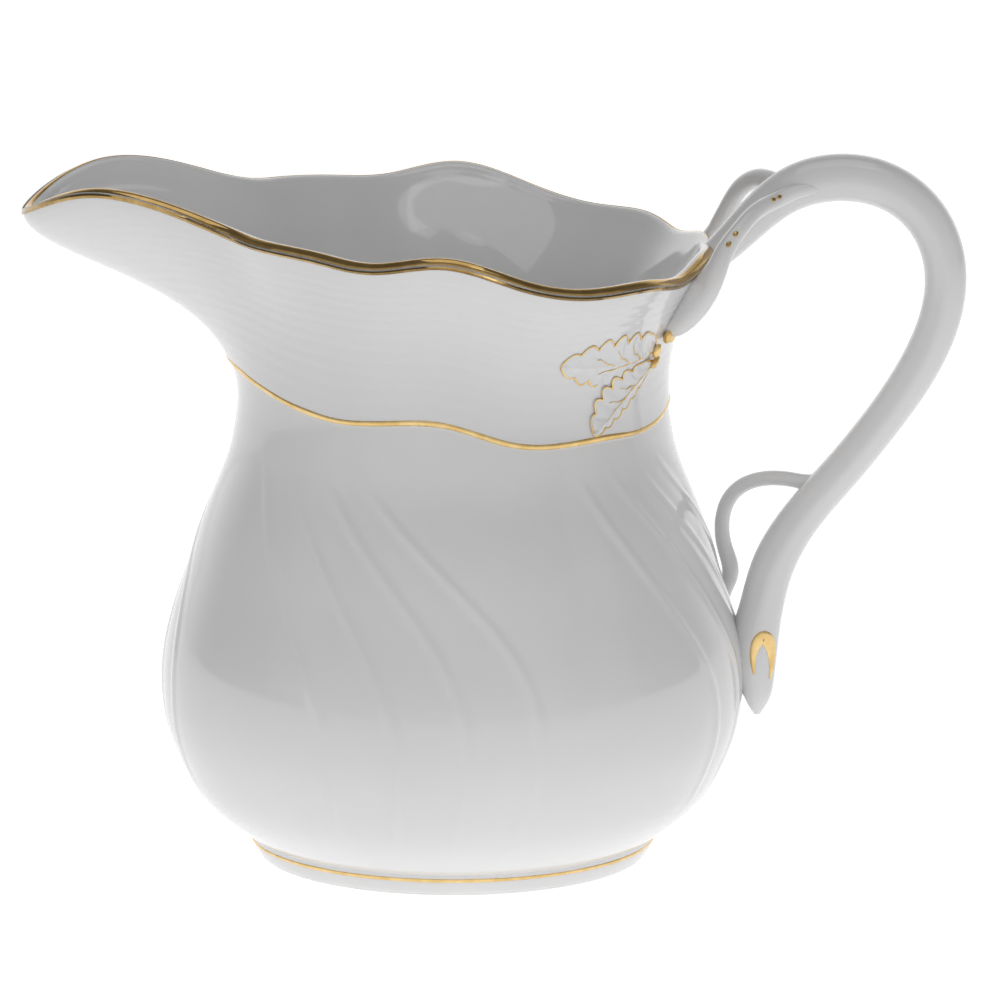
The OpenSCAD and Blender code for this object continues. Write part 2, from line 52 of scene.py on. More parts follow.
# belly: radius at every BELLY_EVERY mm of height
BELLY_FROM, BELLY_EVERY = 2, 5
BELLY_R = [24.5, 31, 34.3, 36.2, 36.9, 36.6, 35.4, 33.8, 32.2, 30.3, 28.4, 27.4]

# lip and lower edge of the collar: one value every LIP_EVERY degrees, from the spout to the handle
LIP_EVERY = 15
LIP_REACH = [54, 46.6, 35, 33.4, 33.1, 34.6, 36.1, 36.8, 36, 35.4, 33.6, 33.1, 33]
LIP_HIGH = [83.2, 87.4, 84.3, 82.7, 82.1, 81.6, 82.7, 79.9, 78.1, 78.1, 77.2, 78.4, 78.4]
EDGE_HIGH = [63.8, 63.3, 62.2, 60.9, 60, 60.3, 60.1, 57.8, 57.05, 57.2, 57.05, 57.8, 58.6]

# reeds: azimuth of a bundle's first reed and degrees between reeds, at every REED_EVERY mm
REED_FROM, REED_EVERY = 5, 10
REED_TURN = [116, 114, 116, 125, 136.5, 147, 154]
REED_GAP = [13, 13.6, 14.6, 15.2, 13.4, 10.6, 9]

# handle, branches and tendril: x, y, z, then the section's two widths
STEM = [
    [30.4, 0, 75.2, 3.4, 4.2], [34.4, 0, 78.5, 4.2, 4.8], [38.6, 0, 82.7, 5, 5.4],
    [43.4, 0, 86.1, 5.7, 5.9], [49.4, 0, 87.2, 6, 6], [55.2, 0, 85.8, 5.8, 6],
    [59.8, 0, 81.8, 5.5, 6], [62, 0, 75.8, 5.3, 5.9], [61.4, 0, 69.2, 5.2, 5.8],
    [58.6, 0, 62.6, 5.1, 5.7], [54.4, 0, 56.2, 4.9, 5.6], [49.3, 0, 49.7, 4.9, 5.6],
    [44.2, 0, 43.6, 5.1, 5.7], [40.7, 0, 37.5, 5.4, 5.8], [39.1, 0, 31.6, 5.6, 5.8],
    [38.2, 0, 26.4, 6.1, 5.6], [38.6, 0, 21.8, 4.4, 4.5], [38.7, 0, 19.4, 2.6, 3],
    [38.7, 0, 18, 0.8, 1.2]]
FRONT = [
    [48, -1.4, 86.6, 1.2, 1.2], [45.2, -2.2, 86.2, 1.7, 1.7], [42.6, -3, 85.7, 2, 2],
    [40.4, -4.4, 84.9, 2.1, 2.1], [38.1, -7.4, 84.1, 2.1, 2.1], [35.9, -10.4, 82.2, 2.1, 2.1],
    [34.1, -12.1, 79.8, 2.5, 2.4], [33, -12.9, 77.3, 3.1, 2.7], [31.8, -13.2, 74.6, 3.4, 2.8],
    [30, -12.9, 72.1, 3.2, 2.8], [28.2, -12.2, 70.5, 2.8, 2.6], [26.8, -11.2, 69.9, 2.2, 2.2]]
REAR = [
    [42.6, 1, 86, 2, 2], [40.6, 4.2, 86, 2.2, 2.2], [38.5, 7.4, 85.8, 2.4, 2.3],
    [36.3, 10.3, 84, 2.5, 2.3], [34.8, 12, 81.2, 2.5, 2.4], [33.4, 12.8, 78.1, 2.9, 2.6],
    [32, 13, 75.1, 3.3, 2.8], [30, 12.9, 72.4, 3.2, 2.8], [28.2, 12.2, 70.6, 2.8, 2.6],
    [26.8, 11.2, 69.9, 2.2, 2.2]]
TENDRIL = [
    [46, 1, 47.4, 1.9, 1.9], [43.4, 2.4, 47.8, 1.9, 1.9], [40.2, 4.2, 47.7, 1.9, 1.9],
    [37, 6, 46.5, 1.9, 1.9], [34.9, 7.5, 44, 1.9, 1.9], [34.2, 8.5, 40.8, 1.9, 1.9],
    [34.6, 8.9, 37.6, 2, 1.9], [35.3, 8.9, 34.4, 2.1, 1.9], [34, 8.6, 31.4, 1.8, 1.8]]

# leaf: degrees from the handle, height and slope of its foot, its length, half widths above and
# below the midrib, bow of the midrib, where each side is widest (1 is the middle), lift
Leaf = namedtuple("Leaf", "turn z slope length above below bow peak_above peak_below lift")
LEAF_UPPER = Leaf(29, 67.9, 0, 16.4, 4.3, 2.7, -0.8, 0.9, 1.5, 0)
LEAF_LOWER = Leaf(28, 66.2, -37, 13.4, 4.3, 1.5, 0, 1.3, 1, 0.14)
LEAF_H, VEIN_W = 0.34, 0.25  # a leaf's height over the collar, width of its painted outline
LOBES, LOBE_CUT = 7, 0.34  # lobes along an edge, and how deep they cut as a share of the width
DEG_PER_MM = 2  # azimuth that a millimetre along a leaf takes up

# buds: degrees from the handle, height, lean, length, thickness
BUDS = [[29.2, 68, 5, 1.8, 1.1], [25.2, 69.5, -20, 1.9, 1.2], [20.5, 69.2, 8, 1.8, 0.9],
        [27.8, 66.3, 48, 1.9, 0.9]]
DOT_AT = [0.95, 1.3, 3.3, 3.75]  # stations of REAR that carry a gold dot
DOT_SHIFT = {-1: 2, 1: 0}  # FRONT has two stations more than REAR before its first dot
# gold horseshoe on the handle's tail: x, z, half width of the line
SHOE = [[38.3, 23.6, 0.12], [38.1, 25, 0.3], [38.2, 26.6, 0.5], [38.7, 27.9, 0.75],
        [39.5, 28.4, 0.9], [40.2, 27.6, 0.75], [40.5, 26, 0.5], [40.5, 24.4, 0.3],
        [40.3, 22.9, 0.12]]


# ---------------------------------------------------------------- curves
def run_on(c):
    """End values for an open curve, carrying on straight."""
    return np.concatenate([[2 * c[0] - c[1]], c, [2 * c[-1] - c[-2]]])


def fold_back(c):
    """End values for a curve mirrored at both ends, as the lip is at the spout and the handle."""
    return np.concatenate([[c[1]], c, [c[-2]]])


def settled(v, ends):
    """Control values of the curve that passes through the stations v."""
    v = np.array(v, float)
    c = v.copy()
    for _ in range(8):
        w = ends(c)
        c = c + v - (w[:-2] + 4 * w[1:-1] + w[2:]) / 6
    return ends(c)


def curve(c, u):
    """Uniform cubic B-spline: u counts stations from 0."""
    n = len(c) - 3
    u = np.clip(np.asarray(u, float), 0, n - 1e-9)
    i = np.floor(u).astype(int)
    t = u - i
    if c.ndim > 1:
        t = t[..., None]
    return ((1 - t) ** 3 * c[i] + (3 * t**3 - 6 * t**2 + 4) * c[i + 1]
            + (-3 * t**3 + 3 * t**2 + 3 * t + 1) * c[i + 2] + t**3 * c[i + 3]) / 6


def step01(t):
    t = np.clip(t, 0, 1)
    return t * t * (3 - 2 * t)


def unit(v):
    return v / np.maximum(np.linalg.norm(v, axis=-1, keepdims=True), 1e-12)


belly_c = settled(BELLY_R, run_on)
reach_c = settled(LIP_REACH, fold_back)
high_c = settled(LIP_HIGH, fold_back)
edge_c = settled(EDGE_HIGH, fold_back)
turn_c = settled(REED_TURN, run_on)
gap_c = settled(REED_GAP, run_on)

# ---------------------------------------------------------------- body surface
SPOUT_SPREAD = 20.4  # degrees over which the spout's tilt fades into the lip's
NECK_PULL = 0.48  # how long the collar's section keeps the neck's direction, as a share of it
LIP_PULL, SPOUT_PULL = 0.25, 0.06  # the same at the lip, and how much less at the spout
S_PER_CHORD = 0.9  # s that a share of the straight line from neck to lip takes up
NEAR_DEG, NEAR_S = 0.8, 0.01  # how far apart points are taken to find a slope
REED_H, REED_HALF = 0.21, 0.85  # a reed's height and half width
HOLLOW, HOLLOW_HALF = 0.08, 2.2  # the shallow hollow that it stands in
REED_TOP, REED_FADE = 56.5, 9
REEDS, BUNDLES = 4, 4
WEAVE_H, WEAVE_ROW, WEAVE_PITCH = 0.032, 1.5, 3.0  # relief, height and length of a stitch
WEAVE_R, WEAVE_REACH = 31.5, 9.0  # radius where the pitch is true, half the usual collar height


def wrap(a):
    return a - 360 * np.floor((a + 180) / 360)


def from_spout(a):
    return 180 - np.abs(wrap(a))


def belly(z):
    return curve(belly_c, (np.asarray(z, float) - BELLY_FROM) / BELLY_EVERY)


def reach(a):
    return curve(reach_c, from_spout(a) / LIP_EVERY)


def high(a):
    return curve(high_c, from_spout(a) / LIP_EVERY)


def edge(a):
    return curve(edge_c, from_spout(a) / LIP_EVERY)


NECK_R = float(belly(NECK_Z))
NECK_LEAN = NECK_R - float(belly(NECK_Z - 1))


def collar(a, s):
    """Section of the collar at azimuth a: s runs from the neck to the lip. Gives r and z."""
    a, s = np.broadcast_arrays(np.asarray(a, float), np.asarray(s, float))
    w = np.exp(-((from_spout(a) / SPOUT_SPREAD) ** 2))
    tilt = np.radians(LIP_TILT + (SPOUT_TILT - LIP_TILT) * w)
    r3, z3 = reach(a), high(a)
    d = np.hypot(r3 - NECK_R, z3 - NECK_Z)
    r1, z1 = NECK_R + NECK_PULL * d * NECK_LEAN, NECK_Z + NECK_PULL * d
    k = (LIP_PULL - SPOUT_PULL * w) * d
    r2, z2 = r3 - k * np.cos(tilt), z3 - k * np.sin(tilt)
    b0, b1, b2, b3 = (1 - s) ** 3, 3 * (1 - s) ** 2 * s, 3 * (1 - s) * s * s, s**3
    return b0 * NECK_R + b1 * r1 + b2 * r2 + b3 * r3, b0 * NECK_Z + b1 * z1 + b2 * z2 + b3 * z3


def seek(a, z):
    """The s at which the collar reaches height z, by halving."""
    lo = np.zeros(np.broadcast(np.asarray(a), np.asarray(z)).shape)
    hi = lo + 1.0
    for _ in range(22):
        m = (lo + hi) / 2
        below = collar(a, m)[1] < z
        lo, hi = np.where(below, m, lo), np.where(below, hi, m)
    return (lo + hi) / 2


def spin(a, r, z):
    t = np.radians(a)
    return np.stack([r * np.cos(t), r * np.sin(t), z + 0 * r], -1)


def collar_pt(a, s):
    return spin(a, *collar(a, s))


def normal_s(a, s):
    """The collar's outward normal."""
    along_a = collar_pt(a + NEAR_DEG, s) - collar_pt(a - NEAR_DEG, s)
    up_s, down_s = np.minimum(s + NEAR_S, 1), np.maximum(s - NEAR_S, 0)
    return unit(np.cross(along_a, collar_pt(a, up_s) - collar_pt(a, down_s)))


def skin_pt(a, s, off):
    """A point off the collar's surface, outwards where off is positive."""
    return collar_pt(a, s) + np.asarray(off)[..., None] * normal_s(a, s)


def rz(a, z):
    """Outer radius of the body at azimuth a and height z."""
    a, z = np.broadcast_arrays(np.asarray(a, float), np.asarray(z, float))
    on_collar = collar(a, seek(a, z))[0]
    return np.where(z < NECK_Z, belly(np.minimum(z, NECK_Z)), on_collar)


def band_s(a, band):
    """The s that lies the width of a band below the lip."""
    return 1 - band / np.hypot(reach(a) - NECK_R, high(a) - NECK_Z) * S_PER_CHORD


def lip_pt(a, turn, g=0.0):
    """A point on the rounded lip, turn degrees from its outside over its top, and g off it."""
    n = normal_s(a, 1.0 + 0 * a)
    along_a = collar_pt(a + NEAR_DEG, 1.0 + 0 * a) - collar_pt(a - NEAR_DEG, 1.0 + 0 * a)
    up = unit(np.cross(n, along_a))
    h = LIP / 2
    t = np.radians(turn)
    centre = collar_pt(a, 1.0 + 0 * a) + (STEP - h) * n - h * up
    return centre + (h + g) * (np.cos(t) * n + np.sin(t) * up)


def reed_relief(a, z):
    """Height of the spiral reeds at azimuth a and height z: four bundles of four rounded ribs."""
    r = belly(z)
    fade = step01((z - REED_FROM) / REED_FADE) * step01((REED_TOP - z) / REED_FADE)
    h = np.zeros(np.broadcast(a, z).shape)
    first = -curve(turn_c, (z - REED_FROM) / REED_EVERY)
    gap = curve(gap_c, (z - REED_FROM) / REED_EVERY)
    for g in range(BUNDLES):
        for j in range(REEDS):
            d = wrap(a - (first + j * gap + 360 / BUNDLES * g)) * np.pi / 180 * r
            h += REED_H * np.exp(-((d / REED_HALF) ** 2))
            h -= HOLLOW * np.exp(-((d / HOLLOW_HALF) ** 2))
    return fade * h


def weave(a, t, length):
    """Basket weave pressed into the collar, softened by the glaze; t runs up the collar."""
    v = t * (0.5 * length + WEAVE_REACH) / WEAVE_ROW
    row = np.floor(v)
    fv = v - row
    u = wrap(a) * np.pi / 180 * WEAVE_R / WEAVE_PITCH + 0.5 * np.mod(row, 2)
    fu = u - np.floor(u)
    along = 0.45 + 0.55 * (0.5 - 0.5 * np.cos(2 * np.pi * fu))
    bulge = (0.5 - 0.5 * np.cos(2 * np.pi * fv)) * along
    fade = step01(t / 0.1) * step01((1 - t) / 0.16)
    return WEAVE_H * fade * bulge


# ---------------------------------------------------------------- meshes
def sheet_mesh(name, pts, close_rows=False, caps=False):
    """A mesh from rows of points, each row a ring. close_rows joins the last row to the first,
    caps close both ends instead."""
    rows, cols = pts.shape[:2]
    idx = np.arange(rows * cols).reshape(rows, cols)
    below = np.roll(idx, -1, 0) if close_rows else idx[1:]
    here = idx if close_rows else idx[:-1]
    quads = np.stack([here, np.roll(here, -1, 1), np.roll(below, -1, 1), below], -1)
    verts = pts.reshape(-1, 3)
    faces = quads.reshape(-1, 4).tolist()
    if caps:
        n = len(verts)
        verts = np.concatenate([verts, [pts[0].mean(0), pts[-1].mean(0)]])
        for k in range(cols):
            j = (k + 1) % cols
            faces.append([n, int(idx[0, j]), int(idx[0, k])])
            faces.append([n + 1, int(idx[-1, k]), int(idx[-1, j])])
    return mesh_object(name, verts, faces)


def mesh_object(name, verts, faces, smooth=True):
    """An object from points in mm."""
    me = bpy.data.meshes.new(name)
    me.from_pydata((np.asarray(verts) * MM).tolist(), [], faces)
    me.validate()
    me.update()
    if smooth:
        me.polygons.foreach_set("use_smooth", [True] * len(me.polygons))
    o = bpy.data.objects.new(name, me)
    bpy.context.scene.collection.objects.link(o)
    return o


def face_out(o):
    """Turns the faces of a closed piece outwards."""
    bm = bmesh.new()
    bm.from_mesh(o.data)
    bmesh.ops.recalc_face_normals(bm, faces=bm.faces)
    if bm.calc_volume(signed=True) < 0:
        bmesh.ops.reverse_faces(bm, faces=bm.faces)
    bm.to_mesh(o.data)
    bm.free()
    o.data.update()
    return o


def joined(name, parts):
    """One piece from several meshes."""
    verts, faces, n = [], [], 0
    for o in parts:
        co = np.empty(len(o.data.vertices) * 3)
        o.data.vertices.foreach_get("co", co)
        verts.append(co.reshape(-1, 3) / MM)
        faces += [[v + n for v in p.vertices] for p in o.data.polygons]
        n += len(o.data.vertices)
        bpy.data.objects.remove(o, do_unlink=True)
    return mesh_object(name, np.concatenate(verts), faces)


def kept(o, material, slot, *nodes):
    """A finished piece: rides on the one body and stands for its CAD nodes."""
    o.data.materials.clear()
    o.data.materials.append(material)
    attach(o, "root")
    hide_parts(*nodes)
    return o


# ---------------------------------------------------------------- materials
NOISE_SPAN = (0.3, 0.7)  # the part of a noise's range that a surface shows


def fresh(name):
    m = bpy.data.materials.new(name)
    m.use_nodes = True
    nt = m.node_tree
    nt.nodes.clear()
    out = nt.nodes.new("ShaderNodeOutputMaterial")
    bsdf = nt.nodes.new("ShaderNodeBsdfPrincipled")
    nt.links.new(bsdf.outputs[0], out.inputs[0])
    pos = nt.nodes.new("ShaderNodeTexCoord")
    return m, nt, bsdf, pos.outputs["Object"]


def noise(nt, where, scale, detail=2.0, rough=0.5):
    n = nt.nodes.new("ShaderNodeTexNoise")
    n.inputs["Scale"].default_value = scale
    n.inputs["Detail"].default_value = detail
    n.inputs["Roughness"].default_value = rough
    nt.links.new(where, n.inputs["Vector"])
    return n.outputs["Fac"]


def ramp(nt, fac, stops):
    """Two colours, each at its own place on a ramp."""
    r = nt.nodes.new("ShaderNodeValToRGB")
    r.color_ramp.interpolation = "EASE"
    for e, (p, c) in zip(r.color_ramp.elements, stops):
        e.position = p
        e.color = (*c, 1)
    nt.links.new(fac, r.inputs[0])
    return r.outputs["Color"]


def spread(nt, fac, lo, hi, out_lo, out_hi):
    r = nt.nodes.new("ShaderNodeMapRange")
    for i, v in zip((1, 2, 3, 4), (lo, hi, out_lo, out_hi)):
        r.inputs[i].default_value = v
    nt.links.new(fac, r.inputs[0])
    return r.outputs[0]


def bumped(nt, bsdf, height, strength, distance):
    b = nt.nodes.new("ShaderNodeBump")
    b.inputs["Strength"].default_value = strength
    b.inputs["Distance"].default_value = distance
    nt.links.new(height, b.inputs["Height"])
    nt.links.new(b.outputs[0], bsdf.inputs["Normal"])


def porcelain(name):
    """White porcelain under a clear glaze, with a faint drift in tone and gloss."""
    m, nt, bsdf, pos = fresh(name)
    tone = noise(nt, pos, scale=38.0, detail=3.0, rough=0.55)
    c = ramp(nt, tone, [(0.3, (0.765, 0.762, 0.764)), (0.7, (0.795, 0.792, 0.793))])
    nt.links.new(c, bsdf.inputs["Base Color"])
    rough = spread(nt, noise(nt, pos, scale=160.0), *NOISE_SPAN, 0.055, 0.1)
    nt.links.new(rough, bsdf.inputs["Roughness"])
    bsdf.inputs["IOR"].default_value = 1.52
    bsdf.inputs["Coat Weight"].default_value = 0.35
    bsdf.inputs["Coat Roughness"].default_value = 0.03
    bsdf.inputs["Coat IOR"].default_value = 1.5
    bsdf.inputs["Subsurface Weight"].default_value = 0.12
    bsdf.inputs["Subsurface Radius"].default_value = (1.0, 0.85, 0.7)
    bsdf.inputs["Subsurface Scale"].default_value = 0.0012
    bumped(nt, bsdf, noise(nt, pos, scale=240.0), strength=0.03, distance=0.0004)
    return m


def bare_porcelain(name):
    """The unglazed standing face: matt, a little warmer, finely grained."""
    m, nt, bsdf, pos = fresh(name)
    tone = noise(nt, pos, scale=300.0, detail=5.0, rough=0.65)
    c = ramp(nt, tone, [(0.3, (0.8, 0.785, 0.76)), (0.7, (0.86, 0.85, 0.83))])
    nt.links.new(c, bsdf.inputs["Base Color"])
    rough = spread(nt, noise(nt, pos, scale=900.0, detail=3.0), *NOISE_SPAN, 0.55, 0.75)
    nt.links.new(rough, bsdf.inputs["Roughness"])
    grain = noise(nt, pos, scale=1500.0, detail=4.0)
    bumped(nt, bsdf, grain, strength=0.25, distance=0.0002)
    return m


def gold(name, dark, light, rough_lo, rough_hi, bump):
    m, nt, bsdf, pos = fresh(name)
    tone = noise(nt, pos, scale=420.0, detail=4.0, rough=0.6)
    nt.links.new(ramp(nt, tone, [(0.32, dark), (0.68, light)]), bsdf.inputs["Base Color"])
    bsdf.inputs["Metallic"].default_value = 1.0
    rough = spread(nt, noise(nt, pos, scale=700.0, detail=3.0), *NOISE_SPAN, rough_lo, rough_hi)
    nt.links.new(rough, bsdf.inputs["Roughness"])
    brushed = noise(nt, pos, scale=520.0, detail=3.0)
    bumped(nt, bsdf, brushed, strength=bump, distance=0.0003)
    return m


glaze = porcelain("glazed_porcelain")
foot_bare = bare_porcelain("bare_foot")
# Gold of the rim and the dots: real gilding, glossier than the lines, but its base colour is darker
# than gold's own, painted shade standing in for the dark reflections these parts show.
shade_darkened_gold = gold("burnished_gold_shade_darkened", (0.5, 0.32, 0.11), (0.62, 0.42, 0.17), 0.06, 0.11, 0.02)
line_gold = gold("gold_line", (0.78, 0.53, 0.2), (0.92, 0.68, 0.32), 0.25, 0.38, 0.08)

# ---------------------------------------------------------------- body
COLS = 640  # points round the body, and rows of them along each stretch of its section
BELLY_ROWS, COLLAR_ROWS, LIP_ROWS, INNER_ROWS, BOWL_ROWS, FILLET_ROWS = 190, 120, 19, 40, 60, 16
STEP_S = 0.02  # height in s of the step at the collar's lower edge
STEP_SHAPE = ((0.15, 0.35), (0.4, 0.8), (0.8, 1.0))  # share of its height, share of its depth
INNER_FROM, INNER_TO = 0.08, 0.78  # s measured down from the lip on the collar's inside
THICKEN = 1.3  # how soon the lip's thickness grows into the wall's
BOWL_LOW, FLAT_R = 8.0, 19.0  # where the wall turns into the floor, and the floor's flat radius
SUNK = 0.2  # how far the belly's underside reaches into the foot
az = (np.arange(COLS) * 360 / COLS)[None, :]


def outside_rows():
    """Under the belly, up its reeds, over the step and up the collar to the lip."""
    bottom = FOOT_H - 0.6
    t = np.linspace(0, 1, BELLY_ROWS)[:, None]
    top = edge(az)
    z = bottom + (top - bottom) * t
    r = rz(az, z)
    dr = (rz(az, z + 0.15) - rz(az, z - 0.15)) / 0.3
    n_r, n_z = 1 / np.hypot(1, dr), -dr / np.hypot(1, dr)
    h = reed_relief(az, z)
    belly_part = spin(az + 0 * z, r + h * n_r, z + h * n_z)
    es = seek(az, top)
    bs = band_s(az, RIM_BAND)
    length = np.hypot(reach(az) - NECK_R, high(az) - NECK_Z) * (bs - es)
    step = [skin_pt(az, es + d * STEP_S, STEP * w + 0 * az) for d, w in STEP_SHAPE]
    t = np.linspace(0, 1, COLLAR_ROWS)[1:, None]
    s = es + STEP_S + (bs - es - STEP_S) * t
    collar_part = skin_pt(az + 0 * s, s, STEP + weave(az, t, length))
    near_lip = [skin_pt(az, bs + (1 - bs) * q, STEP + 0 * az) for q in (0.35, 0.7)]
    under = [spin(az, rr + 0 * az, FOOT_H - SUNK + 0 * az) for rr in (3, 12, 20)]
    return [*under, belly_part, *step, collar_part, *near_lip]


def inside_rows():
    """Down the inside of the collar and the bowl, and in over its floor."""
    rows = []
    for q in np.linspace(INNER_FROM, INNER_TO, INNER_ROWS):
        th = LIP - STEP + (WALL - LIP + STEP) * step01(q * THICKEN)
        rows.append(skin_pt(az, 1 - q + 0 * az, -th + 0 * az))
    for z in np.linspace(NECK_Z, BOWL_LOW, BOWL_ROWS):
        d = float(belly(z + 0.2) - belly(z - 0.2)) / 0.4
        k = 1 / math.hypot(1, d)
        rows.append(spin(az, float(belly(z)) - WALL * k + 0 * az, z + WALL * d * k + 0 * az))
    # fillet from the wall to the floor, tangent to both
    floor_z = FOOT_H + FLOOR
    above, end = rows[-2][0, 0], rows[-1][0, 0]
    r_mid = end[0] - (above[0] - end[0]) / (above[2] - end[2]) * (end[2] - floor_z)
    for q in np.linspace(0, 1, FILLET_ROWS)[1:]:
        r = (1 - q) ** 2 * end[0] + 2 * q * (1 - q) * r_mid + q * q * FLAT_R
        z = (1 - q) ** 2 * end[2] + 2 * q * (1 - q) * floor_z + q * q * floor_z
        rows.append(spin(az, r + 0 * az, z + 0 * az))
    return rows + [spin(az, rr + 0.0 * az, floor_z + 0 * az) for rr in (14, 8, 3)]


lip_rows = [lip_pt(az, turn) for turn in np.linspace(0, 180, LIP_ROWS)]
section = np.concatenate([*outside_rows(), *lip_rows, *inside_rows()], 0)
body = face_out(sheet_mesh("body_porcelain", section, caps=True))
kept(body, glaze, "porcelain", "body_shell")

# ---------------------------------------------------------------- foot
FOOT_R, FOOT_SWELL = 24.6, 1.2  # radius at the table, and how much wider the foot is at its top
FOOT_SIDE_TOP = 2.9
COVE_H, COVE_OUT = 2.0, 0.3  # the small cove up into the belly
EDGE_R, EDGE_ROUND = 24.2, 0.4  # centre and radius of the rounded outer edge
# inner face, inner edge and standing face of the ring: radius, height
FOOT_UNDER = [(22.0, FOOT_H + 0.2), (21.6, 2.2), (21.5, 1.0), (21.62, 0.35), (21.85, 0.04),
              (22.1, 0.0), (24.0, 0.0)]
FOOT_INSIDE = [(25.6, 4.9), (23.5, 4.4)]  # back down inside the belly's wall
STANDING_M = 0.0006  # faces that look down below this height, in m, are unglazed


def foot_side(z):
    return FOOT_R + FOOT_SWELL * np.sin(np.radians(90 * z / FOOT_H))


def foot_rows():
    prof = list(FOOT_UNDER)
    for deg in (10, 30, 50, 70, 85):
        t = math.radians(deg)
        prof.append((EDGE_R + EDGE_ROUND * math.sin(t), EDGE_ROUND - EDGE_ROUND * math.cos(t)))
    prof += [(foot_side(z), z) for z in np.linspace(0.5, FOOT_SIDE_TOP, 18)]
    for q in np.linspace(0.12, 1, 8):
        z = FOOT_SIDE_TOP + COVE_H * q
        on_belly = float(belly(z)) - 0.03 - 1.0 * (1 - q) ** 2
        prof.append((max(foot_side(FOOT_SIDE_TOP) + COVE_OUT * q, on_belly), z))
    p = np.array(prof + FOOT_INSIDE)
    a = (np.arange(256) * 360 / 256)[None, :]
    return spin(a + 0 * p[:, :1], p[:, :1] + 0 * a, p[:, 1:] + 0 * a)


foot = face_out(sheet_mesh("foot_porcelain", foot_rows(), close_rows=True))
kept(foot, glaze, "foot_porcelain", "foot_ring")
foot.data.materials.append(foot_bare)
for p in foot.data.polygons:
    if p.normal.z < -0.9 and p.center.z < STANDING_M:
        p.material_index = 1

# ---------------------------------------------------------------- gilded bands
HANDLE_GAP = 4.2  # degrees either side of the handle where the rim is left white
OVER_LIP = 98  # degrees round the lip that the rim's gold reaches
NECK_LINE_S = 0.021  # width of the neck line in s
FOOT_LINE_Z, FOOT_LINE_HALF = 2.2, 0.27
GOLD_SINK = 0.04  # how far the edges of the gold lie in the porcelain


def wobble(a, seed, amount):
    """Slow uneven width of a painted line."""
    rng = np.random.default_rng(seed)
    w = np.zeros(np.shape(a))
    for k in (3, 5, 8, 13, 21):
        w = w + np.sin(np.radians(a) * k + rng.uniform(0, 6.28)) * rng.uniform(0.4, 1.0)
    return 1 + amount * w / 3


def rim_band():
    a = np.linspace(HANDLE_GAP, 360 - HANDLE_GAP, 900)[None, :]
    low = band_s(a, RIM_BAND * wobble(a, 3, 0.07))
    rows = [skin_pt(a, low, STEP - GOLD_SINK + 0 * a),
            skin_pt(a, low + 0.002, STEP + GILT / 2 + 0 * a),
            skin_pt(a, low + 0.006, STEP + GILT + 0 * a),
            skin_pt(a, (low + 1) / 2, STEP + GILT + 0 * a)]
    rows += [lip_pt(a, t, GILT) for t in np.linspace(0, OVER_LIP, 15)]
    rows += [lip_pt(a, OVER_LIP + 3, GILT / 2), lip_pt(a, OVER_LIP + 5, -GOLD_SINK)]
    rows += [lip_pt(a, t, -0.06) for t in (60, 20)]
    return np.swapaxes(np.concatenate(rows, 0), 0, 1)


def neck_band():
    a = (np.arange(900) * 360 / 900)[None, :]
    es = seek(a, edge(a))
    w = NECK_LINE_S * wobble(a, 7, 0.1)
    rows = [skin_pt(a, es - 0.001, -0.05 + 0 * a), skin_pt(a, es, 0.06 + 0 * a)]
    for q in (0.12, 0.3, 0.5, 0.7, 0.88):
        crown = GILT * (0.5 + 0.6 * math.sin(math.pi * q))
        rows.append(skin_pt(a, es + w * q, STEP * min(1, 0.45 + q) + crown + 0 * a))
    for share, off in ((1, 0.02), (1, -0.05), (0.5, -0.16)):
        rows.append(skin_pt(a, es + w * share, STEP + off + 0 * a))
    return np.concatenate(rows, 0)


def foot_band():
    a = (np.arange(720) * 360 / 720)[None, :]
    w = FOOT_LINE_HALF * wobble(a, 11, 0.12)
    rows = []
    for q in np.linspace(-1, 1, 9):
        z = FOOT_LINE_Z + w * q
        off = 0.13 * math.sqrt(max(1 - q * q, 0))
        rows.append(spin(a, foot_side(z) - GOLD_SINK + off, z))
    rows.append(spin(a, FOOT_R + 0 * a, FOOT_LINE_Z + 0 * a))
    return np.concatenate(rows, 0)


rim = face_out(sheet_mesh("rim_gold_band", rim_band(), caps=True))
# The rim's gold carries the darkened base colour, painted shade for its dark reflections.
kept(rim, shade_darkened_gold, "rim_gold", "rim_gilding")
neck = face_out(sheet_mesh("neck_gold_line", neck_band(), close_rows=True))
kept(neck, line_gold, "gilding", "neck_gilding")
foot_line = face_out(sheet_mesh("foot_gold_line", foot_band(), close_rows=True))
kept(foot_line, line_gold, "gilding", "foot_gilding")

# ---------------------------------------------------------------- handle, branches and tendril
FLARE_START, FLARE_END = 0.5, 0.28  # stations over which a flare fades at each end
LIP_CLEAR, BURIED = 0.5, 0.9  # how far below the lip and inside the skin a buried end stays
FILLET_SINK = 0.35  # how deep the slip draws a branch into the collar
FLUTES, FLUTE_HALF, FLUTE_CUT = (1.15, 2.0, -1.15, -2.0), 0.3, 0.035  # in radians, and depth


def sweep(path, steps, sides, side, groove=None, flare=(0.0, 0.0)):
    """Rings of an oval section along stations; groove changes the section round and along it."""
    c = settled(path, run_on)
    last = len(path) - 1
    u = np.linspace(0.0, last, steps)
    p = curve(c, u)
    q = curve(c, np.minimum(u + 0.05, last))[:, :3] - curve(c, np.maximum(u - 0.05, 0))[:, :3]
    d = unit(q)
    n = unit(np.cross(np.array(side, float)[None, :], d))
    b = np.cross(d, n)
    g = np.arange(sides) * 2 * np.pi / sides
    k = groove(g[None, :], (u / last)[:, None]) if groove else np.ones((steps, sides))
    grow = 1 + flare[0] * np.exp(-((u / FLARE_START) ** 2))
    grow = (grow + flare[1] * np.exp(-(((last - u) / FLARE_END) ** 2)))[:, None]
    hn, hb = p[:, 3, None] / 2 * k * grow, p[:, 4, None] / 2 * k * grow
    return (p[:, None, :3] + (hn * np.cos(g))[..., None] * n[:, None, :]
            + (hb * np.sin(g))[..., None] * b[:, None, :])


